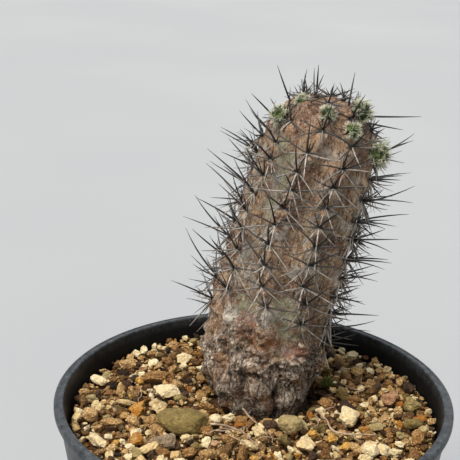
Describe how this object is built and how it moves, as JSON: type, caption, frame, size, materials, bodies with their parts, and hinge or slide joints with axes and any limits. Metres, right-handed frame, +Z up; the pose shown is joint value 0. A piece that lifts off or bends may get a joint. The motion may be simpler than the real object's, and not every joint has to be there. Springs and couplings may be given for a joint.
{
  "type": "potted columnar cactus",
  "caption": "Short leaning columnar cactus with corky skin, low ribs, starry dark spine clusters and woolly crown buds, in a round black plastic pot topped with mixed gravel.",
  "frame": {"origin": "centre of the foot ring that the pot stands on", "axes": "+Z up, -Y towards the side that shows the stem leaning to the right, +X the way the stem leans"},
  "size_m": [0.105, 0.105, 0.1736],
  "materials": {
    "pot_plastic": "injection-moulded polypropylene, charcoal, soft sheen on the lip, light scuffs",
    "soil_grit": "loose mix of pumice, baked clay and grit, grains of 1 to 4 mm",
    "corky_skin": "dry corky bark, mottled tan, grey and faded green",
    "spine_horn": "smooth horn-like spines, black ageing to grey",
    "bud_wool": "woolly bud, cream hairs over green",
    "moss": "short green moss",
    "dry_stalk": "dry straw",
    "stone_cream": "matt, chalky",
    "stone_tan": "matt, grainy",
    "stone_olive": "matt, smooth",
    "stone_grey": "matt",
    "stone_orange": "matt, iron-stained",
    "stone_pink": "matt, veined"
  },
  "bodies": {
    "root": {"bud_side_right": "bud_wool", "bud_small_right": "bud_wool", "bud_top_left": "bud_wool", "bud_top_middle": "bud_wool", "bud_top_right": "bud_wool", "bud_upper_left": "bud_wool", "moss_tuft": "moss", "pot": "pot_plastic", "soil_mix": "soil_grit", "spines_crown": "spine_horn", "spines_rib_1_low": "spine_horn", "spines_rib_1_middle": "spine_horn", "spines_rib_1_upper": "spine_horn", "spines_rib_2_low": "spine_horn", "spines_rib_2_middle": "spine_horn", "spines_rib_2_upper": "spine_horn", "spines_rib_3_low": "spine_horn", "spines_rib_3_middle": "spine_horn", "spines_rib_3_upper": "spine_horn", "spines_rib_4_low": "spine_horn", "spines_rib_4_middle": "spine_horn", "spines_rib_4_upper": "spine_horn", "spines_rib_5_low": "spine_horn", "spines_rib_5_middle": "spine_horn", "spines_rib_6_low": "spine_horn", "spines_rib_6_middle": "spine_horn", "spines_rib_6_upper": "spine_horn", "spines_rib_7_low": "spine_horn", "spines_rib_7_middle": "spine_horn", "spines_rib_7_upper": "spine_horn", "spines_rib_8_low": "spine_horn", "spines_rib_8_middle": "spine_horn", "spines_rib_8_upper": "spine_horn", "spines_rib_9_low": "spine_horn", "spines_rib_9_middle": "spine_horn", "spines_rib_9_upper": "spine_horn", "stalk_front": "dry_stalk", "stalk_left": "dry_stalk", "stalk_long": "dry_stalk", "stem": "corky_skin", "stone_brown_long": "stone_tan", "stone_cream_back": "stone_cream", "stone_cream_chip": "stone_cream", "stone_cream_front": "stone_cream", "stone_cream_long": "stone_cream", "stone_cream_seed": "stone_cream", "stone_cream_shard": "stone_cream", "stone_cream_small": "stone_cream", "stone_dark_grey": "stone_grey", "stone_grey_flat": "stone_grey", "stone_olive_at_foot": "stone_olive", "stone_olive_grey": "stone_olive", "stone_olive_pebble": "stone_olive", "stone_olive_sliver": "stone_olive", "stone_orange": "stone_orange", "stone_pink": "stone_pink", "stone_tan_flat": "stone_tan", "stone_tan_round": "stone_tan", "stone_two_tone": "stone_tan", "stone_white_round": "stone_cream"}
  },
  "joints": []
}
